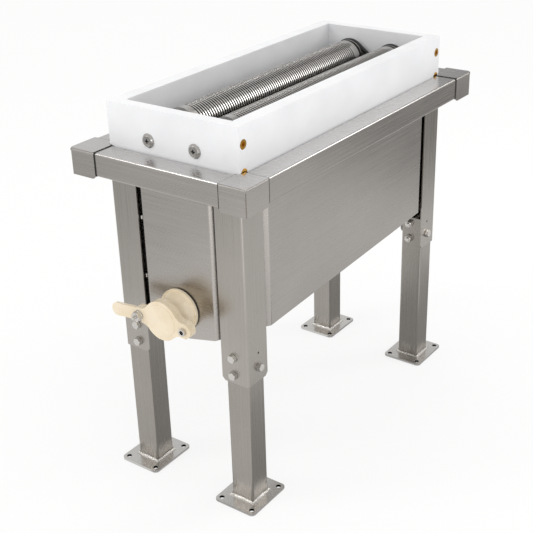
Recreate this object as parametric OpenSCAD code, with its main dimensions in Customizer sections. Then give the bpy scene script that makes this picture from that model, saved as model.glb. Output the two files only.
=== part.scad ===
// Roller uncapper on a stand: a white box with two ribbed rollers drops into the rim
// of a steel honey tub. The tub stands on four bolted legs and empties through a honey gate.
// X runs across the rollers, Y along them (the gate is at -Y), Z up. The floor is Z = 0.

/* [Roller box] */
// Width of the white box, across the rollers
box_w = 264; // [250:2:300]
// Length of the white box, along the rollers
box_l = 636; // [620:2:680]
// Height of its four boards
box_h = 106; // [96:2:120]
// Thickness of the two long boards
side_t = 25; // [18:1:28]
// Thickness of the two end boards
end_t = 20; // [16:1:24]
// Gap between the box and the rim, all round
box_gap = 1.5; // [1:0.25:3]
// How far the box sits below the top of the rim
box_drop = 31; // [24:1:40]
// Height of a brass bolt above or below the middle of the board
corner_bolt_dz = 23; // [16:1:30]
// Head of a brass bolt
corner_bolt_head_d = 16; // [12:1:18]
// Shank of a brass bolt
corner_bolt_d = 7; // [5:0.5:8]

/* [Rollers] */
// Outside diameter of a roller, over the ribs
roller_d = 64; // [56:1:68]
// Length of the spacer between the front board and a roller
front_space = 63; // [50:1:80]
// Gap between the two rollers, where the comb goes through
comb_gap = 30; // [24:1:36]
// Distance from one rib to the next
rib_pitch = 6; // [5:0.5:10]
// Width of a rib's crest
rib_crest = 2.8; // [2:0.2:3.4]
// Width of the bottom of a groove
groove_floor = 1.2; // [0.8:0.2:1.6]
// Depth of a groove
groove_depth = 2.2; // [1:0.2:3]
// Plain land at each end of a roller
land_l = 12; // [8:1:20]
// Wall of the roller tube, from crest to bore
shell_t = 6; // [5:0.5:8]
// Thickness of the plug in each end of a roller
plug_t = 14; // [10:1:20]
// Outside diameter of the bush in each plug
bush_d = 26; // [22:1:30]
// Diameter of an axle
axle_d = 16; // [14:1:18]
// Running clearance between a bush and its axle, on the radius
run_gap = 0.05; // [0.02:0.01:0.09]
// End play of a roller between its spacers
end_gap = 0.3; // [0.2:0.1:0.6]
// Outside diameter of the spacers on the axle
spacer_d = 24; // [20:1:28]
// Length of the spacer between the rear board and a pulley
rear_space = 6; // [4:0.5:10]

/* [Drive belt] */
// Diameter of the round belt
belt_d = 8; // [6:0.5:9]
// Radius of the belt's middle line on a pulley
belt_r = 30; // [26:0.5:30.5]
// Width of a pulley
pulley_w = 14; // [13:1:18]
// Neck between a roller and its pulley
pulley_neck = 8; // [6:1:12]
// Gap between the belt and a pulley
belt_gap = 0.3; // [0.2:0.1:0.6]

/* [Axle screws] */
// Thread of the screws that hold the axles
axle_screw_d = 8; // [6:1:8]
// Head of an axle screw
axle_screw_head_d = 15; // [13:1:17]
// Cup washer under the head
cup_washer_d = 24; // [20:1:28]
// How far a cup washer stands out from the board
cup_washer_h = 4; // [3:0.5:6]
// How deep a screw reaches into the axle
axle_screw_grip = 22; // [16:1:30]

/* [Rim] */
// Height of the top of the rim above the floor
rim_top = 615; // [580:5:700]
// Width of the rim around the opening
rim_w = 42.5; // [36:0.5:50]
// Height of the rim's outer face
rim_h = 40; // [36:1:50]
// Thickness of the folded sheet
sheet_t = 1.5; // [1:0.25:2]
// Outer radius of the folds
fold_r = 3; // [2.5:0.25:5]
// Width of the ledge that carries the box
ledge_w = 18; // [15:0.5:22]
// Width of the lip folded in under the rim
lip_w = 12; // [8:1:16]
// Length of a corner cap along the short rails
cap_len_x = 51; // [46:1:60]
// Length of a corner cap along the long rails
cap_len_y = 57; // [48:1:70]
// How far a cap hangs below the rail
cap_drop = 4.5; // [2:0.5:8]
// Slit down the outer corner of a cap
cap_slit = 1.4; // [0.8:0.2:2]
// Radius of a cap's lower corners
cap_r = 7; // [3:1:10]

/* [Tub] */
// Lowest point of the tub's floor, under the gate, above the ground
tub_floor = 299; // [280:1:340]
// How much the floor falls from the rear end to the gate
floor_fall = 26; // [10:1:40]
// How much the floor rises from its middle to the sides
floor_rise = 27; // [20:1:40]
// Flat strip down the middle of the floor
floor_flat = 30; // [20:1:60]
// Gap between the raised panel of an end and the upright beside it
end_panel_gap = 11; // [9:0.5:16]
// Gap between the raised panel of a side and the upright beside it
side_panel_gap = 15; // [10:0.5:20]
// How far the tub's corners are set in behind the panels
panel_step = 9; // [7:0.5:10]
// Run of the sloping edge of a raised panel
panel_run = 7; // [3:0.5:8]

/* [Uprights and legs] */
// Width of each side of an upright
upright_w = 54; // [50:0.5:60]
// Thickness of an upright
upright_t = 2.5; // [2:0.25:3]
// Outer radius of its bend
upright_r = 4; // [3.5:0.5:5]
// Corners clipped off its lower end
upright_clip = 6; // [3:0.5:8]
// How far a front upright reaches below the tub's lowest point
upright_low_front = 57; // [50:1:80]
// How far a rear upright reaches below the tub's lowest point
upright_low_rear = 36; // [30:1:60]
// Side of a leg tube
leg_w = 45; // [40:1:48]
// Wall of a leg tube
leg_t = 2; // [1.5:0.25:3]
// Outer radius of a leg tube's corners
leg_r = 4; // [3:0.5:6]
// How far a leg tube reaches up inside its upright
leg_lap = 62; // [58:1:64]
// Foot plate across the stand
foot_x = 85; // [78:1:110]
// Foot plate along the stand
foot_y = 100; // [90:1:120]
// Thickness of a foot plate
foot_t = 5; // [4:0.5:8]
// Radius of its corners
foot_r = 8; // [4:1:12]
// Distance of a floor-bolt hole from the plate's edges
foot_hole_in = 10; // [9:0.5:12]
// Diameter of a floor-bolt hole
foot_hole_d = 9; // [7:0.5:11]

/* [Leg bolts] */
// Thread of the leg bolts
bolt_d = 8; // [6:1:8]
// Clearance hole for a leg bolt
bolt_hole_d = 9; // [8.5:0.1:9.6]
// Width across the flats of head and nut
bolt_af = 13; // [12:0.5:14]
// Height of a bolt head
bolt_head_h = 5.3; // [4:0.1:6]
// Height of a nut
nut_h = 6.5; // [5:0.1:8]
// Thread showing past a nut
thread_end = 3; // [1:0.5:5]
// Washer diameter
washer_d = 16; // [14:0.5:17]
// Washer thickness
washer_t = 1.6; // [1:0.1:2]
// Distance of every leg bolt from the upright's outer corner
bolt_in = 30; // [27:0.5:33]
// Lower end bolt above the end of the upright
bolt_low = 15.5; // [14:0.5:18]
// Upper end bolt above the end of the upright
bolt_high = 48.5; // [46:0.5:52]
// Side bolt above the end of the upright
bolt_side = 27; // [26:0.5:34]
// Pilot hole above the end of the upright
pilot_up = 53.5; // [50:0.5:57]
// Pilot hole diameter
pilot_d = 4; // [2:0.5:5]

/* [Honey gate] */
// Height of the gate's bore above the tub's lowest point
gate_up = 53; // [46:1:70]
// Bore of the gate
gate_bore_d = 40; // [32:1:42]
// Threaded tail that passes through the tub
tail_d = 48; // [46:1:50]
// How far the tail reaches behind its flange
tail_l = 20; // [18:1:26]
// Hole for the tail in the tub
tail_hole_d = 49; // [48.5:0.5:51]
// Flange of the gate
flange_d = 76; // [70:1:84]
// Thickness of the flange
flange_t = 6; // [4:0.5:8]
// Rubber seal behind the flange
seal_t = 2; // [1:0.5:3]
// Backnut on the tail
backnut_d = 62; // [58:1:70]
// Thickness of the backnut
backnut_t = 10; // [8:0.5:14]
// Clearance between the tail and its backnut, on the radius
thread_gap = 0.1; // [0.05:0.05:0.2]
// Neck between flange and face plate
neck_l = 28; // [22:1:40]
// Diameter of the neck behind the face plate
neck_d = 56; // [52:1:62]
// Diameter of the face plate and of the blade
gate_d = 70; // [64:1:76]
// Thickness of the face plate
face_t = 8; // [6:0.5:10]
// Thickness of the blade
blade_t = 8; // [5:0.5:9]
// Gap between the sliding faces
slide_gap = 0.3; // [0.1:0.05:0.4]
// Rounded ears of plate and blade
ear_w = 27; // [24:1:30]
// Radius of the hollows between the disc and its ears
ear_hollow = 22; // [16:1:28]
// Pivot screw from the middle of the bore, across
pivot_x = 47; // [44:1:52]
// Pivot screw below the middle of the bore
pivot_dz = 5; // [0:1:10]
// Locking stud from the middle of the bore, across
stud_x = 48; // [45:1:54]
// Locking stud below the middle of the bore
stud_dz = 2; // [0:1:6]
// Length of the handle from the middle of the bore
handle_l = 111; // [95:1:130]
// Width of the handle
handle_w = 24; // [20:1:26]
// Drop of the handle's end below the middle of the bore
handle_dz = 7; // [0:1:12]
// How far the handle lies behind the blade's face
handle_step = 2; // [1:0.5:3]
// Diameter of pivot screw and stud
gate_screw_d = 6; // [5:0.5:8]
// Head of the pivot screw
pivot_head_d = 13; // [11:0.5:15]
// Height of that head
pivot_head_h = 5; // [4:0.5:7]
// Width across the flats of the locking nut
lock_nut_af = 15; // [13:0.5:17]
// Height of the locking nut
lock_nut_h = 9; // [7:0.5:12]
// Stud showing past the locking nut
stud_end = 7; // [3:0.5:12]

/* [Hidden] */
$fn = 64;
cut = 1;
ledge_z = rim_top - box_drop;
tub_top = ledge_z - sheet_t;
box_top = ledge_z + box_h;
axle_z = ledge_z + box_h / 2;
inner_x = box_w / 2 - side_t;
inner_y = box_l / 2 - end_t;
open_x = box_w / 2 + box_gap;
open_y = box_l / 2 + box_gap;
rim_x = open_x + rim_w;
rim_y = open_y + rim_w;
cap_t = sheet_t;
cap_x = rim_x + cap_t;
cap_y = rim_y + cap_t;
cap_z = rim_top - rim_h - cap_drop;

face_x = open_x + sheet_t;
face_y = open_y + sheet_t;
step_x = face_x - panel_step;
step_y = face_y - panel_step;
panel_x = face_x - upright_w - end_panel_gap;
panel_y = face_y - upright_w - side_panel_gap;
fold_turn = tan(atan(panel_step / panel_run) / 2);
floor_angle = atan(floor_rise / (face_x - floor_flat / 2));
drain_angle = atan(floor_fall / (2 * face_y));

leg_x = face_x - upright_t - leg_w / 2;
leg_y = face_y - upright_t - leg_w / 2;
bolt_x = face_x - bolt_in;
bolt_y = face_y - bolt_in;

gate_z = tub_floor + gate_up;

roller_x = (roller_d + comb_gap) / 2;
roller_rear = inner_y - rear_space - end_gap - pulley_w - pulley_neck;
roller_front = front_space + end_gap - inner_y;
roller_l = roller_rear - roller_front;
ribbed_l = roller_l - 2 * land_l;
rib_count = floor((ribbed_l + rib_crest) / rib_pitch);
rib_margin = (ribbed_l - rib_count * rib_pitch + rib_crest) / 2;
bore_r = roller_d / 2 - shell_t;
belt_y = roller_rear + pulley_neck + pulley_w / 2;
pulley_r = belt_r + 1.5;
groove_half = belt_d / 2 + 1;
corner_bolt_in = end_t / 2 + 2;
corner_bolt_grip = 35;
socket_d = 7;

seal_y = -face_y - seal_t;
flange_y = seal_y - flange_t;
plate_y = flange_y - neck_l;
plate_front = plate_y - face_t;
blade_back = plate_front - slide_gap;
blade_front = blade_back - blade_t;
pivot_z = gate_z - pivot_dz;
stud_z = gate_z - stud_dz;
handle_end_x = -handle_l + handle_w / 2;
handle_end_z = gate_z - handle_dz;
slot_w = gate_screw_d + 2;
slot_r = pivot_x + stud_x;
lock_nut_y = blade_front - slide_gap - lock_nut_h;
screw_end = 3;
bar_relief = 0.3;
hollow_relief = 0.15;

// Mirrors what is drawn for the corner at +X +Y to another corner
module at_corner(sx, sy) {
    mirror([sx < 0 ? 1 : 0, 0, 0]) mirror([0, sy < 0 ? 1 : 0, 0]) children();
}

// A flat shape in X and Z, made solid from y0 to y1
module slab(y0, y1) {
    translate([0, y1, 0]) rotate([90, 0, 0]) linear_extrude(y1 - y0) children();
}

// A round bar along Y
module rod_y(x, z, d, y0, y1, sides = 64) {
    translate([x, y1, z]) rotate([90, 0, 0]) cylinder(d = d, h = y1 - y0, $fn = sides);
}

// A round bar along X
module rod_x(y, z, d, x0, x1, sides = 64) {
    translate([x0, y, z]) rotate([0, 90, 0]) cylinder(d = d, h = x1 - x0, $fn = sides);
}

// A ring along Y
module ring_y(x, z, d, bore, y0, y1) {
    difference() {
        rod_y(x, z, d, y0, y1);
        rod_y(x, z, bore, y0 - cut, y1 + cut);
    }
}

// A quarter of a bent sheet, in the first quadrant
module bend(r, t) {
    intersection() {
        difference() {
            circle(r);
            circle(r - t);
        }
        square(r);
    }
}

// A bar with round ends, in the plane; its sides lie a little inside the ends' tangents
module bar(a, b, w) {
    d = b - a;
    side = [-d.y, d.x] / norm(d) * (w / 2 - bar_relief);
    translate(a) circle(d = w);
    translate(b) circle(d = w);
    polygon([a + side, a - side, b - side, b + side]);
}

// A flat fillet with a hollow side, between two discs a and b in the plane
module hollow(a, ra, b, rb, r, side) {
    gap = norm(b - a);
    along = (b - a) / gap;
    across = side * [-along.y, along.x];
    u = (pow(ra + r, 2) - pow(rb + r, 2) + gap * gap) / (2 * gap);
    c = a + u * along + sqrt(pow(ra + r, 2) - u * u) * across;
    difference() {
        polygon([a, a + (c - a) * ra / (ra + r), c, b + (c - b) * rb / (rb + r), b]);
        translate(c) circle(r + hollow_relief);
    }
}

// Tub

function tub_quarter(i) = [
    [face_x - i, panel_y - fold_turn * i],
    [step_x - i, panel_y + panel_run - fold_turn * i],
    [step_x - i, step_y - i],
    [panel_x + panel_run - fold_turn * i, step_y - i],
    [panel_x - fold_turn * i, face_y - i],
];

function turned(list) = [for (k = [len(list) - 1 : -1 : 0]) list[k]];

function tub_outline(i) = let (q = tub_quarter(i)) concat(
    q,
    turned([for (p = q) [-p.x, p.y]]),
    [for (p = q) [-p.x, -p.y]],
    turned([for (p = q) [p.x, -p.y]])
);

// Section of the space above the floor, which lies i inside the tub
module floor_section(i) {
    flat = floor_flat / 2 - i * tan(floor_angle / 2);
    side = flat + face_x;
    side_z = i + face_x * tan(floor_angle);
    polygon([[-flat, i], [flat, i], [side, side_z], [side, tub_top], [-side, tub_top], [-side, side_z]]);
}

// The tub's whole form, taken in by i all round and open above where lift is given
module tub_form(i, lift = 0) {
    intersection() {
        translate([0, 0, tub_floor - cut])
            linear_extrude(tub_top - tub_floor + cut + lift) polygon(tub_outline(i));
        translate([0, -face_y, tub_floor]) rotate([drain_angle, 0, 0])
            slab(-rim_w, 2 * face_y + rim_w) floor_section(i);
    }
}

module tub_shell() {
    difference() {
        tub_form(0);
        tub_form(sheet_t, cut);
    }
}

module tub_slice(y0, y1) {
    translate([-rim_x, y0, 0]) cube([2 * rim_x, y1 - y0, rim_top]);
}

module tub_wrap() color([0.66, 0.64, 0.62]) intersection() {
    tub_shell();
    tub_slice(sheet_t - step_y, step_y - sheet_t);
}

module tub_end_front() color([0.69, 0.67, 0.65]) difference() {
    intersection() {
        tub_shell();
        tub_slice(-rim_y, sheet_t - step_y);
    }
    rod_y(0, gate_z, tail_hole_d, -rim_y, cut - step_y);
}

module tub_end_rear() color([0.69, 0.67, 0.65]) intersection() {
    tub_shell();
    tub_slice(step_y - sheet_t, rim_y);
}

// Rim

// Section of a rail: 0 is the edge of the opening, and outwards is +X
module rail_section() {
    web_z = ledge_z - sheet_t;
    low = rim_top - rim_h;
    translate([-ledge_w, web_z]) square([ledge_w + sheet_t, sheet_t]);
    translate([0, web_z]) square([sheet_t, rim_top - fold_r - web_z]);
    translate([fold_r, rim_top - fold_r]) mirror([1, 0]) bend(fold_r, sheet_t);
    translate([fold_r, rim_top - sheet_t]) square([rim_w - 2 * fold_r, sheet_t]);
    translate([rim_w - fold_r, rim_top - fold_r]) bend(fold_r, sheet_t);
    translate([rim_w - sheet_t, low + fold_r]) square([sheet_t, rim_h - 2 * fold_r]);
    translate([rim_w - fold_r, low + fold_r]) mirror([0, 1]) bend(fold_r, sheet_t);
    translate([rim_w - lip_w, low]) square([lip_w - fold_r, sheet_t]);
}

// Space between the two mitre cuts of a rail on the +X side
module mitre_space(open_side, open_end) {
    in_x = open_side - ledge_w - cut;
    in_y = open_end - ledge_w - cut;
    out = rim_w + ledge_w + 2 * cut;
    linear_extrude(rim_top + cut) polygon([
        [in_x, -in_y],
        [in_x + out, -in_y - out],
        [in_x + out, in_y + out],
        [in_x, in_y],
    ]);
}

module rail(open_side, open_end) color([0.74, 0.73, 0.71]) intersection() {
    translate([open_side, 0, 0]) rotate([90, 0, 0])
        linear_extrude(2 * (open_end + rim_w), center = true) rail_section();
    mitre_space(open_side, open_end);
}

module rim_rail_right() rail(open_x, open_y);
module rim_rail_left() mirror([1, 0, 0]) rail(open_x, open_y);
module rim_rail_rear() mirror([1, 0, 0]) rotate([0, 0, 90]) rail(open_y, open_x);
module rim_rail_front() rotate([0, 0, -90]) rail(open_y, open_x);

// Section of a cap: 0 is the face of the rail
module cap_section(len) {
    r = fold_r + cap_t;
    translate([-len + cap_t, rim_top]) square([len - r, cap_t]);
    translate([cap_t - r, rim_top + cap_t - r]) bend(r, cap_t);
    translate([0, cap_z]) square([cap_t, rim_top + cap_t - r - cap_z]);
}

// What comes off a cap wall's lower corner
module corner_trim(r) {
    difference() {
        translate([-cut, -cut]) square(r + cut);
        translate([r, r]) circle(r);
    }
}

// Walls of the cap at +X +Y along one side, rounded at the lower corners
module cap_wall(face, end, len_in, len_along) {
    near = end + cap_t - len_along;
    difference() {
        translate([face, end + cap_t, 0]) rotate([90, 0, 0])
            linear_extrude(len_along) cap_section(len_in);
        translate([face + 2 * cap_t, near, cap_z]) rotate([90, 0, -90])
            mirror([1, 0, 0]) linear_extrude(3 * cap_t) corner_trim(cap_r);
        translate([face - cap_t, end + cap_t - cap_slit, cap_z - cut])
            cube([3 * cap_t, cap_slit + cut, rim_top - fold_r - cap_z]);
    }
}

module corner_cap(sx, sy) color([0.78, 0.77, 0.75]) at_corner(sx, sy) difference() {
    union() {
        cap_wall(rim_x, rim_y, cap_len_x, cap_len_y);
        mirror([1, -1, 0]) cap_wall(rim_y, rim_x, cap_len_y, cap_len_x);
    }
    translate([0, 0, rim_top - cut]) cube([open_x, open_y, cap_t + 2 * cut]);
    translate([rim_x - fold_r, rim_y - fold_r, cap_z - cut]) difference() {
        cube([2 * fold_r, 2 * fold_r, rim_h]);
        translate([0, 0, -cut]) cube([fold_r + cap_t - cap_slit, 2 * fold_r, rim_h + 2 * cut]);
        translate([0, 0, -cut]) cube([2 * fold_r, fold_r + cap_t - cap_slit, rim_h + 2 * cut]);
    }
}

module corner_cap_front_left() corner_cap(-1, -1);
module corner_cap_front_right() corner_cap(1, -1);
module corner_cap_rear_left() corner_cap(-1, 1);
module corner_cap_rear_right() corner_cap(1, 1);

// Uprights, legs and feet

// Angle section with its outer corner at 0
module angle_section(w, t, r) {
    translate([-w, -t]) square([w - r, t]);
    translate([-t, -w]) square([t, w - r]);
    translate([-r, -r]) bend(r, t);
}

module round_square(w, r) {
    for (x = [r - w / 2, w / 2 - r], y = [r - w / 2, w / 2 - r]) translate([x, y]) circle(r);
    square([w, w - 2 * r], center = true);
    square([w - 2 * r, w], center = true);
}

// Height of an upright's lower end: the front ones reach lower, as the floor does
function upright_z(sy) = tub_floor - (sy < 0 ? upright_low_front : upright_low_rear);

// What is clipped off the free lower corner of an upright's side in the X and Z plane
module upright_corner(face, edge, low) {
    reach = upright_clip + cut;
    slab(face - upright_t - cut, face + cut)
        polygon([[edge - cut, low - cut], [edge + reach, low - cut], [edge - cut, low + reach]]);
}

module upright(sx, sy) color([0.70, 0.68, 0.66]) at_corner(sx, sy) difference() {
    low = upright_z(sy);
    translate([face_x, face_y, low])
        linear_extrude(tub_top - low) angle_section(upright_w, upright_t, upright_r);
    for (z = [bolt_low, bolt_high])
        rod_y(bolt_x, low + z, bolt_hole_d, face_y - upright_t - cut, face_y + cut);
    rod_x(bolt_y, low + bolt_side, bolt_hole_d, face_x - upright_t - cut, face_x + cut);
    rod_x(bolt_y, low + pilot_up, pilot_d, face_x - upright_t - cut, face_x + cut);
    upright_corner(face_y, face_x - upright_w, low);
    mirror([1, -1, 0]) upright_corner(face_x, face_y - upright_w, low);
}

module upright_front_left() upright(-1, -1);
module upright_front_right() upright(1, -1);
module upright_rear_left() upright(-1, 1);
module upright_rear_right() upright(1, 1);

module leg(sx, sy) color([0.66, 0.64, 0.62]) at_corner(sx, sy) difference() {
    low = upright_z(sy);
    translate([leg_x, leg_y, foot_t]) linear_extrude(low + leg_lap - foot_t) difference() {
        round_square(leg_w, leg_r);
        round_square(leg_w - 2 * leg_t, leg_r - leg_t);
    }
    for (z = [bolt_low, bolt_high])
        rod_y(bolt_x, low + z, bolt_hole_d, leg_y - leg_w, leg_y + leg_w);
    rod_x(bolt_y, low + bolt_side, bolt_hole_d, leg_x - leg_w, leg_x + leg_w);
}

module leg_front_left() leg(-1, -1);
module leg_front_right() leg(1, -1);
module leg_rear_left() leg(-1, 1);
module leg_rear_right() leg(1, 1);

module foot_plate(sx, sy) color([0.68, 0.66, 0.64]) at_corner(sx, sy)
    translate([leg_x, leg_y, 0]) difference() {
        linear_extrude(foot_t) {
            for (x = [-1, 1], y = [-1, 1])
                translate([x * (foot_x / 2 - foot_r), y * (foot_y / 2 - foot_r)]) circle(foot_r);
            square([foot_x, foot_y - 2 * foot_r], center = true);
            square([foot_x - 2 * foot_r, foot_y], center = true);
        }
        for (x = [-1, 1], y = [-1, 1])
            translate([x * (foot_x / 2 - foot_hole_in), y * (foot_y / 2 - foot_hole_in), -cut])
                cylinder(d = foot_hole_d, h = foot_t + 2 * cut);
    }

module foot_plate_front_left() foot_plate(-1, -1);
module foot_plate_front_right() foot_plate(1, -1);
module foot_plate_rear_left() foot_plate(-1, 1);
module foot_plate_rear_right() foot_plate(1, 1);

// Leg bolts

// Draws its children at all twelve leg bolts, along +Z from the upright's face inwards
module at_leg_bolts() {
    for (sx = [-1, 1], sy = [-1, 1]) at_corner(sx, sy) {
        for (z = [bolt_low, bolt_high])
            translate([bolt_x, face_y, upright_z(sy) + z]) rotate([90, 0, 0]) children();
        translate([face_x, bolt_y, upright_z(sy) + bolt_side]) rotate([0, -90, 0]) children();
    }
}

// Depth from the upright's face to the inner face of the leg tube
leg_grip = upright_t + leg_w;
shank_l = leg_grip + washer_t + nut_h + thread_end;

module hexagon(af, h) {
    cylinder(d = af / cos(30), h = h, $fn = 6);
}

module leg_bolts() color([0.80, 0.80, 0.80]) at_leg_bolts() {
    translate([0, 0, -washer_t - bolt_head_h]) hexagon(bolt_af, bolt_head_h);
    translate([0, 0, -washer_t]) cylinder(d = bolt_d, h = washer_t + shank_l);
}

module washer() {
    difference() {
        cylinder(d = washer_d, h = washer_t);
        translate([0, 0, -cut]) cylinder(d = bolt_hole_d, h = washer_t + 2 * cut);
    }
}

module leg_washers() color([0.76, 0.76, 0.76]) at_leg_bolts() {
    translate([0, 0, -washer_t]) washer();
    translate([0, 0, leg_grip]) washer();
}

module leg_nuts() color([0.78, 0.78, 0.78]) at_leg_bolts()
    translate([0, 0, leg_grip + washer_t]) difference() {
        hexagon(bolt_af, nut_h);
        translate([0, 0, -cut]) cylinder(d = bolt_d + 2 * thread_gap, h = nut_h + 2 * cut);
    }

// Honey gate

// Outline that plate and blade share: a disc with an ear for the pivot and one for the stud
module gate_outline() {
    middle = [0, gate_z];
    translate(middle) circle(d = gate_d, $fn = 96);
    for (ear = [[pivot_x, pivot_z], [-stud_x, stud_z]]) {
        translate(ear) circle(d = ear_w);
        for (side = [-1, 1]) hollow(middle, gate_d / 2, ear, ear_w / 2, ear_hollow, side);
    }
}

module gate_body() color([0.93, 0.88, 0.76]) difference() {
    union() {
        rod_y(0, gate_z, tail_d, seal_y, seal_y + tail_l, 96);
        rod_y(0, gate_z, flange_d, flange_y, seal_y, 96);
        translate([0, flange_y, gate_z]) rotate([90, 0, 0])
            cylinder(d1 = flange_d - 8, d2 = neck_d, h = neck_l / 2, $fn = 96);
        rod_y(0, gate_z, neck_d, plate_y, flange_y - neck_l / 2, 96);
        slab(plate_front, plate_y) gate_outline();
    }
    rod_y(0, gate_z, gate_bore_d, plate_front - cut, seal_y + tail_l + cut, 96);
    rod_y(pivot_x, pivot_z, gate_screw_d, plate_front - cut, plate_y + cut);
    rod_y(-stud_x, stud_z, gate_screw_d, plate_front - cut, plate_y + cut);
}

module gate_seal() color([0.12, 0.12, 0.12])
    ring_y(0, gate_z, flange_d - 2, tail_hole_d, seal_y, -face_y);

module gate_backnut() color([0.93, 0.88, 0.76]) difference() {
    rod_y(0, gate_z, backnut_d, sheet_t - face_y, sheet_t - face_y + backnut_t, 96);
    rod_y(0, gate_z, tail_d + 2 * thread_gap, -face_y, sheet_t - face_y + backnut_t + cut, 96);
    for (a = [0 : 60 : 300]) translate([0, 0, gate_z]) rotate([0, a, 0])
        rod_y(backnut_d / 2 + 2, 0, 12, -face_y, sheet_t - face_y + backnut_t + cut);
}

module gate_blade() color([0.95, 0.90, 0.78]) difference() {
    union() {
        slab(blade_front, blade_back) gate_outline();
        slab(blade_front + handle_step, blade_back)
            bar([-stud_x, stud_z], [handle_end_x, handle_end_z], handle_w);
        rod_y(0, gate_z, gate_d - 13, blade_front - 0.8, blade_front + cut, 96);
    }
    rod_y(pivot_x, pivot_z, gate_screw_d + 2 * run_gap, blade_front - 2 * cut, blade_back + cut);
    slab(blade_front - 2 * cut, blade_back + cut) intersection() {
        translate([pivot_x, pivot_z]) difference() {
            circle(slot_r + slot_w / 2, $fn = 160);
            circle(slot_r - slot_w / 2, $fn = 160);
        }
        translate([-stud_x - ear_w / 2, stud_z - ear_w]) square([ear_w, ear_w]);
    }
    rod_y(-stud_x, stud_z, slot_w, blade_front - 2 * cut, blade_back + cut);
}

module gate_pivot_screw() color([0.78, 0.78, 0.78]) difference() {
    union() {
        rod_y(pivot_x, pivot_z, gate_screw_d, blade_front - slide_gap, plate_y + screw_end);
        rod_y(pivot_x, pivot_z, pivot_head_d,
            blade_front - slide_gap - pivot_head_h, blade_front - slide_gap);
    }
    rod_y(pivot_x, pivot_z, socket_d / cos(30),
        blade_front - slide_gap - pivot_head_h - cut, blade_front - slide_gap - 2, 6);
}

module gate_stud() color([0.80, 0.80, 0.80])
    rod_y(-stud_x, stud_z, gate_screw_d, lock_nut_y - stud_end, plate_y + screw_end);

module gate_lock_nut() color([0.80, 0.80, 0.80]) difference() {
    union() {
        translate([-stud_x, lock_nut_y + lock_nut_h, stud_z]) rotate([90, 0, 0])
            cylinder(d = lock_nut_af + 3, h = 2);
        translate([-stud_x, lock_nut_y + lock_nut_h - 1.5, stud_z]) rotate([90, 0, 0])
            hexagon(lock_nut_af, lock_nut_h - 1.5);
    }
    rod_y(-stud_x, stud_z, gate_screw_d + 2 * run_gap,
        lock_nut_y - cut, lock_nut_y + lock_nut_h + cut);
}

// Roller box

// Draws its children at the eight brass bolts, along +Z from the board's face inwards
module at_corner_bolts() {
    for (sx = [-1, 1], sy = [-1, 1], sz = [-1, 1]) at_corner(sx, sy)
        translate([box_w / 2, box_l / 2 - corner_bolt_in, axle_z + sz * corner_bolt_dz])
            rotate([0, -90, 0]) children();
}

corner_head_h = 5;

module corner_bolt_holes() {
    at_corner_bolts() {
        translate([0, 0, -cut]) cylinder(d = corner_bolt_head_d + 2 * thread_gap,
            h = corner_head_h + cut);
        cylinder(d = corner_bolt_d + 2 * thread_gap, h = side_t + corner_bolt_grip);
    }
}

module box_side(sx) color([0.97, 0.97, 0.97]) difference() {
    at_corner(sx, 1) translate([inner_x, -box_l / 2, ledge_z]) cube([side_t, box_l, box_h]);
    corner_bolt_holes();
}

module box_side_left() box_side(-1);
module box_side_right() box_side(1);

module box_end(sy) color([0.97, 0.97, 0.97]) difference() {
    at_corner(1, sy) translate([-inner_x, inner_y, ledge_z]) cube([2 * inner_x, end_t, box_h]);
    corner_bolt_holes();
    for (sx = [-1, 1])
        at_corner(sx, sy) rod_y(roller_x, axle_z, axle_screw_d + 0.5,
            inner_y - cut, box_l / 2 + cut);
}

module box_end_front() box_end(-1);
module box_end_rear() box_end(1);

module corner_bolts() color([0.78, 0.60, 0.26]) at_corner_bolts() difference() {
    union() {
        translate([0, 0, 0.2]) cylinder(d = corner_bolt_head_d, h = corner_head_h - 0.2);
        translate([0, 0, corner_head_h - 0.5])
            cylinder(d = corner_bolt_d, h = side_t + corner_bolt_grip - corner_head_h);
    }
    translate([0, 0, -cut]) cylinder(d = socket_d / cos(30), h = 3.2 + cut, $fn = 6);
}

// Draws its children at the four axle screws, along +Z from the board's face inwards
module at_axle_screws() {
    for (sx = [-1, 1], sy = [-1, 1]) at_corner(sx, sy)
        translate([roller_x, box_l / 2, axle_z]) rotate([90, 0, 0]) children();
}

module axle_screws() color([0.80, 0.80, 0.80]) at_axle_screws() difference() {
    union() {
        translate([0, 0, -cup_washer_h]) cylinder(d1 = axle_screw_head_d, d2 = axle_screw_d,
            h = cup_washer_h);
        cylinder(d = axle_screw_d, h = end_t + axle_screw_grip);
    }
    for (a = [0, 90]) rotate(a) translate([-3.6, -0.9, -cup_washer_h - cut])
        cube([7.2, 1.8, 1.8 + cut]);
}

module cup_washers() color([0.76, 0.76, 0.76]) at_axle_screws() rotate_extrude() polygon([
    [axle_screw_d / 2 + 0.2, 0],
    [axle_screw_head_d / 2 + 0.2, -cup_washer_h],
    [axle_screw_head_d / 2 + 1.4, -cup_washer_h],
    [cup_washer_d / 2, -0.8],
    [cup_washer_d / 2, 0],
]);

// Rollers

module axle(sx) color([0.74, 0.74, 0.74]) difference() {
    rod_y(sx * roller_x, axle_z, axle_d, -inner_y, inner_y);
    for (sy = [-1, 1]) at_corner(1, sy)
        rod_y(sx * roller_x, axle_z, axle_screw_d + 2 * thread_gap,
            inner_y - axle_screw_grip - 2, inner_y + cut);
}

module axle_left() axle(-1);
module axle_right() axle(1);

module front_spacers() color([0.74, 0.74, 0.74]) for (sx = [-1, 1])
    ring_y(sx * roller_x, axle_z, spacer_d, axle_d + 2 * thread_gap,
        -inner_y, roller_front - end_gap);

module rear_spacers() color([0.74, 0.74, 0.74]) for (sx = [-1, 1])
    ring_y(sx * roller_x, axle_z, spacer_d, axle_d + 2 * thread_gap,
        inner_y - rear_space, inner_y);

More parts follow.
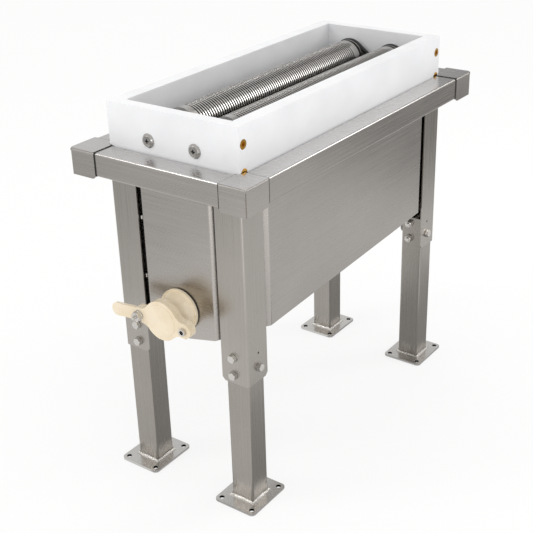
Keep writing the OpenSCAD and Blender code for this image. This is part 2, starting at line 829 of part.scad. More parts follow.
// Section of the roller tube: X is the radius, Y the length
function rib_points() = [
    for (k = [0 : rib_count - 2]) let (
        y = land_l + rib_margin + rib_crest + k * rib_pitch - rib_crest / 2,
        side = (rib_pitch - rib_crest - groove_floor) / 2,
        r = roller_d / 2
    ) each [
        [r, y],
        [r - groove_depth, y + side],
        [r - groove_depth, y + side + groove_floor],
        [r, y + 2 * side + groove_floor],
    ]
];

module roller_shell(sx) color([0.80, 0.80, 0.79])
    translate([sx * roller_x, roller_front, axle_z]) rotate([-90, 0, 0]) rotate_extrude()
        polygon(concat(
            [[bore_r, 0], [roller_d / 2, 0]],
            rib_points(),
            [[roller_d / 2, roller_l], [bore_r, roller_l]]
        ));

module roller_plugs(sx) color([0.70, 0.68, 0.66])
    for (y = [roller_front, roller_rear - plug_t])
        ring_y(sx * roller_x, axle_z, 2 * bore_r, bush_d, y, y + plug_t);

module roller_bushes(sx) color([0.93, 0.92, 0.88])
    for (y = [roller_front, roller_rear - plug_t])
        ring_y(sx * roller_x, axle_z, bush_d, axle_d + 2 * run_gap, y, y + plug_t);

module roller_pulley(sx) color([0.74, 0.74, 0.74])
    translate([sx * roller_x, roller_rear, axle_z]) rotate([-90, 0, 0]) rotate_extrude() {
        mid = pulley_neck + pulley_w / 2;
        floor_radius = belt_r - belt_d / 2 - belt_gap;
        polygon([
            [axle_d / 2 + 0.5, 0],
            [bush_d / 2 + 4, 0],
            [bush_d / 2 + 4, pulley_neck],
            [pulley_r, pulley_neck],
            [pulley_r, mid - groove_half],
            [floor_radius, mid - groove_half],
            [floor_radius, mid + groove_half],
            [pulley_r, mid + groove_half],
            [pulley_r, pulley_neck + pulley_w],
            [axle_d / 2 + 0.5, pulley_neck + pulley_w],
        ]);
    }

module roller_left_shell() roller_shell(-1);
module roller_left_plugs() roller_plugs(-1);
module roller_left_bushes() roller_bushes(-1);
module roller_left_pulley() roller_pulley(-1);
module roller_right_shell() roller_shell(1);
module roller_right_plugs() roller_plugs(1);
module roller_right_bushes() roller_bushes(1);
module roller_right_pulley() roller_pulley(1);

// Drive belt: a round belt crossed between the pulleys, so that the rollers turn opposite ways

belt_sides = 12;
arc_steps = 20;
run_steps = 16;
cross_angle = asin(belt_r / roller_x);
run_half = roller_x * cos(cross_angle);
cross_lift = belt_d / 2 + 0.5;

// Points of the arc round the left pulley, from its upper to its lower tangent
function left_arc() = [
    for (k = [0 : arc_steps - 1])
        let (a = 90 - cross_angle + k * (180 + 2 * cross_angle) / arc_steps)
        [-roller_x + belt_r * cos(a), 0, belt_r * sin(a)]
];

// Points of a straight run from the left pulley to the right one, past the other run
function cross_run(up, lift) = [
    for (k = [0 : run_steps - 1])
        let (u = k / run_steps, s = (2 * u - 1) * run_half)
        [s * cos(cross_angle), lift * pow(sin(180 * u), 4), up * s * sin(cross_angle)]
];

belt_line = concat(
    left_arc(),
    cross_run(1, -cross_lift),
    [for (p = left_arc()) [-p.x, 0, p.z]],
    [for (p = cross_run(1, cross_lift)) [-p.x, p.y, p.z]]
);

function unit(v) = v / norm(v);

function belt_ring(k) = let (
    n = len(belt_line),
    along = unit(belt_line[(k + 1) % n] - belt_line[(k + n - 1) % n]),
    out = unit(cross(along, [0, 1, 0])),
    side = cross(out, along)
) [
    for (j = [0 : belt_sides - 1]) let (a = j * 360 / belt_sides)
        belt_line[k] + belt_d / 2 * (cos(a) * out + sin(a) * side)
];

function belt_faces(n) = [
    for (k = [0 : n - 1], j = [0 : belt_sides - 1]) let (
        a = k * belt_sides + j,
        b = k * belt_sides + (j + 1) % belt_sides,
        c = (k + 1) % n * belt_sides + (j + 1) % belt_sides,
        d = (k + 1) % n * belt_sides + j
    ) each [[a, b, c], [a, c, d]]
];

module drive_belt() color([0.12, 0.12, 0.12]) translate([0, belt_y, axle_z])
    polyhedron(
        points = [for (k = [0 : len(belt_line) - 1]) each belt_ring(k)],
        faces = belt_faces(len(belt_line)),
        convexity = 6
    );

tub_wrap();
tub_end_front();
tub_end_rear();
rim_rail_front();
rim_rail_rear();
rim_rail_left();
rim_rail_right();
corner_cap_front_left();
corner_cap_front_right();
corner_cap_rear_left();
corner_cap_rear_right();
upright_front_left();
upright_front_right();
upright_rear_left();
upright_rear_right();
leg_front_left();
leg_front_right();
leg_rear_left();
leg_rear_right();
foot_plate_front_left();
foot_plate_front_right();
foot_plate_rear_left();
foot_plate_rear_right();
leg_bolts();
leg_washers();
leg_nuts();
gate_body();
gate_seal();
gate_backnut();
gate_blade();
gate_pivot_screw();
gate_stud();
gate_lock_nut();
box_side_left();
box_side_right();
box_end_front();
box_end_rear();
corner_bolts();
axle_screws();
cup_washers();
axle_left();
axle_right();
front_spacers();
rear_spacers();
drive_belt();
roller_left_shell();
roller_left_plugs();
roller_left_bushes();
roller_left_pulley();
roller_right_shell();
roller_right_plugs();
roller_right_bushes();
roller_right_pulley();
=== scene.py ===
"""Dresses the roller uncapper: a white box with two ribbed rollers in the rim of a steel honey
tub, which stands on four bolted legs and empties through a cream honey gate."""
import logging
import math
from dataclasses import dataclass
from enum import Enum
from typing import Callable, Iterable, Sequence

import bmesh
import bpy
from mathutils import Matrix, Vector


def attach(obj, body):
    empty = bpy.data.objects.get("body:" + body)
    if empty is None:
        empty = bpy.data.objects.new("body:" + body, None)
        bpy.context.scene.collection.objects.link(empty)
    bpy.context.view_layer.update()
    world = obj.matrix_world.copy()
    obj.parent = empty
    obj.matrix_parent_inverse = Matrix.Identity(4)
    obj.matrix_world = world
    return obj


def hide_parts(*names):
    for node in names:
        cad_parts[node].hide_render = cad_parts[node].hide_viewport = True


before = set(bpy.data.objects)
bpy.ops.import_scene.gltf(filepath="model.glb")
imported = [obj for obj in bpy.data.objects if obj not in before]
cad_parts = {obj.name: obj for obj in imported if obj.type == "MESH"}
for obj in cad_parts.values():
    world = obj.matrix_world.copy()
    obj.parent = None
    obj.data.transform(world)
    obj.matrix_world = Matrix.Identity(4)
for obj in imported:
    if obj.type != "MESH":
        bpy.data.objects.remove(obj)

log = logging.getLogger("roller_uncapper")
Pair = tuple[float, float]
Triple = tuple[float, float, float]
MM = 0.001
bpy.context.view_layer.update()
# Axes, as numbers of a vector's parts
X, Y = 0, 1
# The Mix node's colour sockets, by number, since other sockets have the same names
MIX_DARK, MIX_LIGHT, MIX_COLOUR = 6, 7, 2
# Largest angle between two triangles of one flat face, in degrees
FLAT_ANGLE = 0.3
# A direction lies along an axis from this cosine on, and across it up to that one
ALONG, ACROSS = 0.9, 0.1
# From this cosine on, a face across the shank is a recess's floor and not its wall
FLOOR_COSINE = 0.97
# How far a recess wall has to lean towards its middle line, in metres
LEAN = 1e-6


def mm(x: float, y: float, z: float) -> Vector:
    """A point or a size given in millimetres, in metres."""
    return Vector((x, y, z)) * MM


def linear(hex_colour: str) -> tuple[float, float, float, float]:
    """Turns an sRGB colour into the linear one that the shaders take.

    Args:
        hex_colour: Six hex digits.

    Returns:
        Red, green, blue and alpha.
    """
    # The numbers are those of the sRGB standard
    values = [int(hex_colour[i:i + 2], 16) / 255 for i in (0, 2, 4)]
    parts = [v / 12.92 if v <= 0.04045 else ((v + 0.055) / 1.055) ** 2.4 for v in values]
    return (parts[0], parts[1], parts[2], 1.0)


def add_node(tree: bpy.types.NodeTree, kind: str, inputs: dict | None = None,
             **settings: object) -> bpy.types.Node:
    """Adds one shader node with its settings and its links.

    Args:
        tree: The material's node tree.
        kind: The node's type, without the word ShaderNode.
        inputs: A value or another node's output for each input, by its name or number.
        settings: Properties of the node itself.

    Returns:
        The new node.
    """
    node = tree.nodes.new("ShaderNode" + kind)
    for key, value in settings.items():
        setattr(node, key, value)
    for key, value in (inputs or {}).items():
        if isinstance(value, bpy.types.NodeSocket):
            tree.links.new(value, node.inputs[key])
        else:
            node.inputs[key].default_value = value
    return node


def two_tone(tree: bpy.types.NodeTree, pattern: bpy.types.NodeSocket, span: Pair, dark: str,
             light: str) -> bpy.types.NodeSocket:
    """Lets a pattern run from one colour to another.

    Args:
        tree: The material's node tree.
        pattern: The pattern's value.
        span: The values that give the dark and the light colour.
        dark: The dark colour, as six hex digits.
        light: The light colour.

    Returns:
        The colour.
    """
    share = add_node(tree, "MapRange", {
        "Value": pattern, "From Min": span[0], "From Max": span[1]}).outputs["Result"]
    return add_node(tree, "Mix", {
        "Factor": share, MIX_DARK: linear(dark), MIX_LIGHT: linear(light)},
        data_type="RGBA").outputs[MIX_COLOUR]


def start_material(name: str) -> tuple[bpy.types.Material, bpy.types.NodeTree,
                                       bpy.types.NodeSocket]:
    """Makes a bare material.

    Args:
        name: Its name.

    Returns:
        The material, its node tree, and the place on the object.
    """
    material = bpy.data.materials.new(name)
    material.use_nodes = True
    tree = material.node_tree
    return material, tree, add_node(tree, "TexCoord").outputs["Object"]


class Grain(Enum):
    """How marks of brushing or turning run: their size along X, Y and Z, in mark widths."""

    ALONG_X = (140.0, 1.0, 1.0)
    ALONG_Y = (1.0, 140.0, 1.0)
    ALONG_Z = (1.0, 1.0, 140.0)
    AROUND_Y = (60.0, 1.0, 60.0)
    NONE = (1.0, 1.0, 1.0)


@dataclass(frozen=True)
class Metal:
    """A bare metal with fine marks of brushing or turning.

    Real marks are about 0.1 mm wide. They are drawn mark_mm wide, to show at this distance.
    """

    name: str
    light: str
    dark: str
    grain: Grain
    mark_mm: float
    smooth: float
    rough: float
    cloud_mm: float = 180.0
    depth_mm: float = 0.02
    streak_detail: float = 4.0
    streak_roughness: float = 0.62
    cloud_detail: float = 3.0
    colour_span: Pair = (0.55, 1.45)
    polish_span: Pair = (0.3, 0.7)
    bump: float = 0.15

    def build(self) -> bpy.types.Material:
        """Makes the material.

        Returns:
            The material, with streaks in its colour, roughness and height.
        """
        material, tree, place = start_material(self.name)
        shader = tree.nodes["Principled BSDF"]
        scale = [1 / (MM * self.mark_mm * length) for length in self.grain.value]
        along = add_node(tree, "Mapping", {"Vector": place, "Scale": scale}).outputs[0]
        streak = add_node(tree, "TexNoise", {
            "Vector": along, "Scale": 1.0, "Detail": self.streak_detail,
            "Roughness": self.streak_roughness}).outputs["Fac"]
        cloud = add_node(tree, "TexNoise", {
            "Vector": place, "Scale": 1 / (MM * self.cloud_mm),
            "Detail": self.cloud_detail}).outputs["Fac"]
        mixed = add_node(tree, "Math", {0: streak, 1: cloud}, operation="ADD").outputs[0]
        colour = two_tone(tree, mixed, self.colour_span, self.dark, self.light)
        tree.links.new(colour, shader.inputs["Base Color"])
        polish = add_node(tree, "MapRange", {
            "Value": streak, "From Min": self.polish_span[0], "From Max": self.polish_span[1],
            "To Min": self.smooth, "To Max": self.rough}).outputs["Result"]
        tree.links.new(polish, shader.inputs["Roughness"])
        bump = add_node(tree, "Bump", {
            "Height": streak, "Strength": self.bump, "Distance": MM * self.depth_mm}).outputs[0]
        tree.links.new(bump, shader.inputs["Normal"])
        shader.inputs["Metallic"].default_value = 1.0
        return material


@dataclass(frozen=True)
class Plastic:
    """A solid plastic or rubber with faint mottling and a fine surface texture."""

    name: str
    light: str
    dark: str
    roughness: float
    mottle_mm: float
    texture_mm: float
    depth_mm: float
    glow: float = 0.0
    glow_mm: float = 3.0
    glow_reach: Triple = (1.0, 0.9, 0.8)
    coat: float = 0.0
    refraction: float = 1.5
    mottle_detail: float = 3.0
    texture_detail: float = 2.0
    colour_span: Pair = (0.35, 0.65)
    polish_span: Pair = (0.3, 0.7)
    polish_share: Pair = (0.85, 1.15)
    bump: float = 0.4

    def build(self) -> bpy.types.Material:
        """Makes the material.

        Returns:
            The material, with mottled colour and roughness and a shallow texture.
        """
        material, tree, place = start_material(self.name)
        shader = tree.nodes["Principled BSDF"]
        mottle = add_node(tree, "TexNoise", {
            "Vector": place, "Scale": 1 / (MM * self.mottle_mm),
            "Detail": self.mottle_detail}).outputs["Fac"]
        colour = two_tone(tree, mottle, self.colour_span, self.dark, self.light)
        tree.links.new(colour, shader.inputs["Base Color"])
        smooth, rough = (self.roughness * share for share in self.polish_share)
        polish = add_node(tree, "MapRange", {
            "Value": mottle, "From Min": self.polish_span[0], "From Max": self.polish_span[1],
            "To Min": smooth, "To Max": rough}).outputs["Result"]
        tree.links.new(polish, shader.inputs["Roughness"])
        fine = add_node(tree, "TexNoise", {
            "Vector": place, "Scale": 1 / (MM * self.texture_mm),
            "Detail": self.texture_detail}).outputs["Fac"]
        bump = add_node(tree, "Bump", {
            "Height": fine, "Strength": self.bump, "Distance": MM * self.depth_mm}).outputs[0]
        tree.links.new(bump, shader.inputs["Normal"])
        if self.glow:
            shader.inputs["Subsurface Weight"].default_value = self.glow
            shader.inputs["Subsurface Scale"].default_value = MM * self.glow_mm
            shader.inputs["Subsurface Radius"].default_value = self.glow_reach
        shader.inputs["Coat Weight"].default_value = self.coat
        shader.inputs["IOR"].default_value = self.refraction
        return material


class Finish(Enum):
    """Every finish of the object: what it really is, and the painted light and shade laid over
    some of its faces.
    """

    # Stainless sheet, belt-brushed along its length: warm grey with horizontal streaks
    SHEET_X = Metal("stainless_sheet_brushed_across", "b8b3ae", "a5a19c", Grain.ALONG_X, 1.4,
                    0.24, 0.36)
    SHEET_Y = Metal("stainless_sheet_brushed_along", "b2ada8", "9f9b96", Grain.ALONG_Y, 1.4,
                    0.24, 0.36)
    # Painted highlight: the rim's upper faces get a lighter copy of the sheet, for the light
    # that falls on them from above, so they look brighter than its sides
    RIM_TOP_HIGHLIGHT = Metal("stainless_sheet_painted_highlight", "cfcdcc", "bdbbb9", Grain.ALONG_X, 1.4, 0.20, 0.30)
    # Stainless angle, brushed up and down: upright streaks
    SECTION = Metal("stainless_angle_brushed", "b2ada7", "9f9b95", Grain.ALONG_Z, 1.4,
                    0.24, 0.36)
    # Stainless square tube, brushed up and down: darker than the sheet
    TUBE = Metal("stainless_tube_brushed", "a6a19b", "938f89", Grain.ALONG_Z, 1.4, 0.24, 0.34)
    # Stainless plate, ground in both directions: even grey
    PLATE = Metal("stainless_plate_ground", "d2d0ce", "c0bebb", Grain.NONE, 1.2, 0.20, 0.30)
    # Weld bead, brushed bright after welding: small bright ripples
    WELD = Metal("stainless_weld_bead", "dcdad6", "bebbb6", Grain.NONE, 2.0, 0.16, 0.30)
    # Stainless hexagon parts, forged and tumbled: satin grey that shines at its edges
    FASTENER = Metal("stainless_fastener", "d6d3cf", "bab7b3", Grain.NONE, 2.5, 0.12, 0.22)
    # Washers and screws, turned bright: nearly a mirror
    BRIGHT = Metal("stainless_turned_bright", "bab8b5", "9c9996", Grain.NONE, 2.5, 0.08, 0.18)
    # Painted shade: the cross recesses and the walls of the floor holes, which lie in shade,
    # made dark, with a dull shine
    HOLLOW_SHADE = Metal("recess_painted_shade", "1e1d1c", "121111", Grain.NONE, 2.0, 0.30, 0.45)
    # Painted shade: hexagon recesses in brass, which lie in shade, made brown and dull
    BRASS_HOLLOW_SHADE = Metal("brass_recess_painted_shade", "34200a", "1c1105", Grain.NONE, 2.0, 0.30,
                         0.45)
    # Axle bar, drawn and turned: an even shine with fine rings
    AXLE = Metal("bright_drawn_steel", "b4b2af", "9a9894", Grain.AROUND_Y, 1.0, 0.18, 0.28)
    # Aluminium tube, turned on a lathe: rib crests catch the light
    ALUMINIUM = Metal("aluminium_turned", "cac8c5", "a9a6a3", Grain.AROUND_Y, 0.8, 0.14, 0.26)
    # Painted shade: the faces between the ribs made dark and less shiny, for the shade in the
    # grooves between bright crests
    GROOVE_SHADE = Metal("aluminium_groove_painted_shade", "42403e", "2a2928", Grain.AROUND_Y, 0.8, 0.30, 0.45)
    # Brass bolts, slightly tarnished: golden; the brown in their hollows is painted shade,
    # given separately
    BRASS = Metal("brass_turned", "d6a850", "a2762c", Grain.NONE, 2.0, 0.16, 0.30)
    # Polyethylene board, planed: white, waxy, a little light goes in at the edges
    BOARD = Plastic("polyethylene_board_white", "edeef0", "e8e9eb", 0.38, 60.0, 2.2, 0.05,
                    glow=0.12, glow_mm=4.0)
    # Injection-moulded polypropylene: cream and glossy
    GATE = Plastic("polypropylene_cream", "e9dcc4", "e1d1b4", 0.26, 40.0, 3.0, 0.008,
                   glow=0.25, glow_mm=4.0, coat=0.1)
    # Nitrile rubber, moulded: matte black
    SEAL = Plastic("nitrile_rubber_black", "17171a", "101012", 0.55, 12.0, 0.8, 0.05)
    # Polyurethane round belt: black with a dull shine
    BELT = Plastic("polyurethane_belt_black", "0e0e10", "080809", 0.55, 15.0, 0.8, 0.04)
    # Painted shadow: a thin dark strip beside each corner cap, where the gap between cap and
    # rail lies in shade
    CAP_GAP_SHADOW = Plastic("cap_gap_painted_shadow", "2c2a28", "1c1b1a", 0.6, 12.0, 0.8, 0.02)
    # Cast nylon: off-white, satin
    NYLON = Plastic("nylon_natural", "e8e5da", "dedacd", 0.42, 20.0, 1.5, 0.04, glow=0.1)


BUILT: dict[Finish, bpy.types.Material] = {}


def material_of(finish: Finish) -> bpy.types.Material:
    """Makes a finish's material the first time that it is asked for.

    Args:
        finish: The finish.

    Returns:
        Its material.
    """
    if finish not in BUILT:
        BUILT[finish] = finish.value.build()
    return BUILT[finish]


class Part(Enum):
    """What is picked in edit mode."""

    VERT = "VERT"
    EDGE = "EDGE"
    FACE = "FACE"


class Cut(Enum):
    """What a cut with another piece leaves."""

    OUTSIDE = "DIFFERENCE"
    INSIDE = "INTERSECT"


class Workpiece:
    """One piece while it is being shaped."""

    def __init__(self, obj: bpy.types.Object, name: str) -> None:
        """Takes over an object and puts its place into its mesh.

        Args:
            obj: The mesh object.
            name: The piece's name.
        """
        self.obj = obj
        obj.name = obj.data.name = name
        self.activate()
        bpy.ops.object.transform_apply(location=True, rotation=True, scale=True)

    @classmethod
    def copy_of(cls, node: str) -> "Workpiece":
        """Copies a CAD node's mesh and joins its loose triangles.

        Args:
            node: The node's name.

        Returns:
            The copy, with whole faces.
        """
        obj = bpy.data.objects.new(node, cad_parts[node].data.copy())
        bpy.context.scene.collection.objects.link(obj)
        piece = cls(obj, node + "_dressed")
        piece.obj.data.materials.clear()
        piece.merge().edit()
        bpy.ops.mesh.dissolve_limited(angle_limit=math.radians(FLAT_ANGLE))
        return piece

    @classmethod
    def box(cls, name: str, low: Vector, high: Vector) -> "Workpiece":
        """A block between two corners.

        Args:
            name: The piece's name.
            low: Its lowest corner.
            high: Its highest corner.

        Returns:
            The block.
        """
        leave_edit_mode()
        bpy.ops.mesh.primitive_cube_add(size=1, location=(low + high) / 2, scale=high - low)
        return cls(bpy.context.object, name)

    @classmethod
    def drum(cls, name: str, radius: float, start: float, end: float, sides: int = 48,
             end_radius: float | None = None) -> "Workpiece":
        """A round block along Z.

        Args:
            name: The piece's name.
            radius: Its radius at the start.
            start: Its lower end.
            end: Its upper end.
            sides: Number of sides; six make a hexagon.
            end_radius: Its radius at the end, where that differs.

        Returns:
            The block.
        """
        leave_edit_mode()
        far = radius if end_radius is None else end_radius
        bpy.ops.mesh.primitive_cone_add(
            vertices=sides, radius1=radius, radius2=far, depth=end - start,
            location=(0, 0, (start + end) / 2))
        return cls(bpy.context.object, name)

    def activate(self) -> None:
        """Leaves edit mode and makes this the only selected object."""
        leave_edit_mode()
        self.obj.select_set(True)
        bpy.context.view_layer.objects.active = self.obj

    def edit(self) -> None:
        """Enters edit mode with everything selected."""
        self.activate()
        bpy.ops.object.mode_set(mode="EDIT")
        bpy.ops.mesh.select_all(action="SELECT")

    def merge(self, distance: float = 0.01 * MM) -> "Workpiece":
        """Joins vertices that lie on each other.

        Args:
            distance: How close they lie, in metres.

        Returns:
            This piece, in edit mode.
        """
        self.edit()
        bpy.ops.mesh.remove_doubles(threshold=distance)
        return self

    def pick(self, part: Part, test: Callable[[Vector, Vector], bool]) -> "Workpiece":
        """Enters edit mode and selects by place.

        Args:
            part: Faces, edges or vertices.
            test: Takes the middle, and the normal or an edge's direction; true selects.

        Returns:
            This piece, in edit mode.
        """
        self.edit()
        bpy.ops.mesh.select_mode(type=part.value)
        bpy.ops.mesh.select_all(action="DESELECT")
        mesh = bmesh.from_edit_mesh(self.obj.data)
        if part is Part.FACE:
            for face in mesh.faces:
                face.select_set(test(face.calc_center_median(), face.normal))
        elif part is Part.EDGE:
            for edge in mesh.edges:
                a, b = edge.verts[0].co, edge.verts[1].co
                edge.select_set(test((a + b) / 2, (b - a).normalized()))
        else:
            for vert in mesh.verts:
                vert.select_set(test(vert.co, vert.normal))
        bmesh.update_edit_mesh(self.obj.data)
        return self

    def pick_folds(self, least: float, most: float) -> "Workpiece":
        """Selects the edges whose two faces meet at an angle between two limits.

        Args:
            least: Smallest angle, in degrees.
            most: Largest angle, in degrees.

        Returns:
            This piece, in edit mode.
        """
        self.pick(Part.EDGE, lambda place, way: False)
        mesh = bmesh.from_edit_mesh(self.obj.data)
        for edge in mesh.edges:
            edge.select_set(least <= math.degrees(edge.calc_face_angle(0.0)) <= most)
        bmesh.update_edit_mesh(self.obj.data)
        return self

    def modify(self, kind: str, **settings: object) -> "Workpiece":
        """Adds a modifier and applies it.

        Args:
            kind: The modifier's type.
            settings: Its settings.

        Returns:
            This piece.
        """
        self.activate()
        modifier = self.obj.modifiers.new(kind.title(), kind)
        for key, value in settings.items():
            setattr(modifier, key, value)
        bpy.ops.object.modifier_apply(modifier=modifier.name)
        return self

    def ease(self, width: float, segments: int = 2, angle: float = 35.0) -> "Workpiece":
        """Rounds every edge sharper than an angle.

        Args:
            width: Width of the rounding.
            segments: Steps of the rounding.
            angle: Smallest angle that is rounded, in degrees.

        Returns:
            This piece.
        """
        return self.modify("BEVEL", width=width, segments=segments, limit_method="ANGLE",
                           angle_limit=math.radians(angle), use_clamp_overlap=True)

    def carve(self, tool: "Workpiece", cut: Cut = Cut.OUTSIDE) -> "Workpiece":
        """Cuts this piece with another, which is used up.

        Args:
            tool: The other piece.
            cut: What stays: the outside or the inside of the other piece.

        Returns:
            This piece.
        """
        self.modify("BOOLEAN", object=tool.obj, operation=cut.value, solver="EXACT")
        bpy.data.objects.remove(tool.obj)
        return self

    def join(self, others: Iterable["Workpiece"]) -> "Workpiece":
        """Takes other pieces into this one.

        Args:
            others: The other pieces.

        Returns:
            This piece.
        """
        self.activate()
        for other in others:
            other.obj.select_set(True)
        bpy.ops.object.join()
        return self

    def repeat(self, places: Sequence[Matrix]) -> "Workpiece":
        """Copies this piece to each place, and joins the copies as one piece.

        Args:
            places: Where the copies go; this piece itself takes the first place.

        Returns:
            This piece.
        """
        self.activate()
        copies = []
        for place in places[1:]:
            obj = bpy.data.objects.new(self.obj.name, self.obj.data.copy())
            bpy.context.scene.collection.objects.link(obj)
            obj.data.transform(place)
            copies.append(obj)
        self.obj.data.transform(places[0])
        for obj in copies:
            obj.select_set(True)
        if copies:
            bpy.ops.object.join()
        return self

    def dress(self, finish: Finish, body: str, slot: str, *nodes: str,
              smooth: float = 32.0) -> "Workpiece":
        """Shades the piece, gives it its finish and lets it ride on its body.

        Args:
            finish: The finish.
            body: The CAD body that carries it.
            slot: The record's material slot. Not used.
            nodes: The CAD nodes that it stands for.
            smooth: Largest angle that is shaded smooth, in degrees.

        Returns:
            This piece.
        """
        self.activate()
        bpy.ops.object.shade_smooth_by_angle(angle=math.radians(smooth))
        self.modify("WEIGHTED_NORMAL", keep_sharp=True)
        self.obj.data.materials.clear()
        self.obj.data.materials.append(material_of(finish))
        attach(self.obj, body)
        if nodes:
            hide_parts(*nodes)
        log.info("%s: %d faces", self.obj.name, len(self.obj.data.polygons))
        return self

    def darken_recesses(self, finish: Finish, axis: int, reach: float) -> "Workpiece":
        """Paints shade into the recesses of a set of fasteners, as a second, dark finish.

        Args:
            finish: The finish.
            axis: The axis that the shanks run along.
            reach: How far a recess reaches from its middle line, in metres.

        Returns:
            This piece.
        """
        leave_edit_mode()
        self.obj.data.materials.append(material_of(finish))
        for index in recess_faces(self.obj, axis, reach):
            self.obj.data.polygons[index].material_index = len(self.obj.data.materials) - 1
        return self

    def accent(self, finish: Finish, test: Callable[[Vector, Vector], bool]) -> "Workpiece":
        """Gives some faces a second finish.

        Args:
            finish: The finish.
            test: Takes a face's middle and normal; true where the finish goes.

        Returns:
            This piece.
        """
        self.obj.data.materials.append(material_of(finish))
        self.pick(Part.FACE, test)
        self.obj.active_material_index = len(self.obj.data.materials) - 1
        bpy.ops.object.material_slot_assign()
        leave_edit_mode()
        return self


def loose_parts(mesh: bmesh.types.BMesh) -> list[list[bmesh.types.BMFace]]:
    """Sorts a mesh's faces by the loose part that they belong to.

    Args:
        mesh: The mesh, with its face table up to date.

    Returns:
        The faces of each loose part.
    """
    parts, seen = [], set()
    for start in mesh.faces:
        if start.index in seen:
            continue
        part, queue = [], [start]
        seen.add(start.index)
        while queue:
            face = queue.pop()
            part.append(face)
            for near in (f for edge in face.edges for f in edge.link_faces):
                if near.index not in seen:
                    seen.add(near.index)
                    queue.append(near)
        parts.append(part)
    return parts


def recess_faces(obj: bpy.types.Object, axis: int, reach: float) -> set[int]:
    """Finds the faces of the recesses in a set of screw heads.

    Args:
        obj: The fasteners, each a loose part of one mesh.
        axis: The axis that their shanks run along.
        reach: Largest distance of a recess face from its fastener's middle, in metres.

    Returns:
        The numbers of the faces that look at their own fastener's middle line, or lie
        between such faces.
    """
    mesh = bmesh.new()
    mesh.from_mesh(obj.data)
    mesh.faces.ensure_lookup_table()
    across = [i for i in range(3) if i != axis]
    found = set()
    for part in loose_parts(mesh):
        points = [v.co for face in part for v in face.verts]
        middle = [(min(p[i] for p in points) + max(p[i] for p in points)) / 2 for i in range(3)]
        close, walls = [], set()
        for face in part:
            place = face.calc_center_median()
            out = [place[i] - middle[i] for i in across]
            if math.hypot(*out) >= reach:
                continue
            close.append(face)
            inward = sum(o * face.normal[i] for o, i in zip(out, across)) < -LEAN
            if inward and abs(face.normal[axis]) < FLOOR_COSINE:
                walls.add(face.index)
        for face in close:
            near = {f.index for e in face.edges for f in e.link_faces} - {face.index}
            if face.index in walls or (near and near <= walls):
                found.add(face.index)
    mesh.free()
    return found


def leave_edit_mode() -> None:
    """Goes back to object mode with nothing selected."""
    if bpy.context.object is not None and bpy.context.object.mode != "OBJECT":
        bpy.ops.object.mode_set(mode="OBJECT")
    bpy.ops.object.select_all(action="DESELECT")


def facing(place: Vector, inwards: Vector, turn: float = 0.0) -> Matrix:
    """Where a part made along Z goes.

    Args:
        place: Where its origin goes.
        inwards: Where its Z axis points.
        turn: Its turn about that axis, in degrees.

    Returns:
        The placing matrix.
    """
    swing = inwards.to_track_quat("Z", "Y").to_matrix().to_4x4()
    return Matrix.Translation(place) @ swing @ Matrix.Rotation(math.radians(turn), 4, "Z")


def dressed(node: str, finish: Finish, body: str, slot: str, edge: float,
            segments: int = 2) -> Workpiece:
    """Copies a CAD node, rounds the copy's edges and dresses it.

    Args:
        node: The node's name.
        finish: The finish.
        body: The CAD body that carries it.
        slot: The record's material slot.
        edge: Width of the rounding, in mm.
        segments: Steps of the rounding.

    Returns:
        The dressed copy.
    """
    piece = Workpiece.copy_of(node).ease(edge * MM, segments)
    return piece.dress(finish, body, slot, node)


CORNERS = {"front_left": (-1, -1), "front_right": (1, -1),
           "rear_left": (-1, 1), "rear_right": (1, 1)}


@dataclass
class Tub:
    """The long body: side sheets with the floor, and two ends, with folded raised panels."""

    fold: float = 1.3
    fold_angles: Pair = (48.0, 78.0)
    fold_segments: int = 3
    edge: float = 0.35
    edge_angle: float = 60.0

    def build(self) -> None:
        """Rounds the folds and the cut edges of the three sheets."""
        for node, finish in (("tub_wrap", Finish.SHEET_Y), ("tub_end_front", Finish.SHEET_X),
                             ("tub_end_rear", Finish.SHEET_X)):
            piece = Workpiece.copy_of(node)
            piece.pick_folds(*self.fold_angles)
            bpy.ops.mesh.bevel(offset=self.fold * MM, segments=self.fold_segments,
                               affect="EDGES")
            piece.ease(self.edge * MM, angle=self.edge_angle)
            piece.dress(finish, "stand", "stainless_sheet", node)


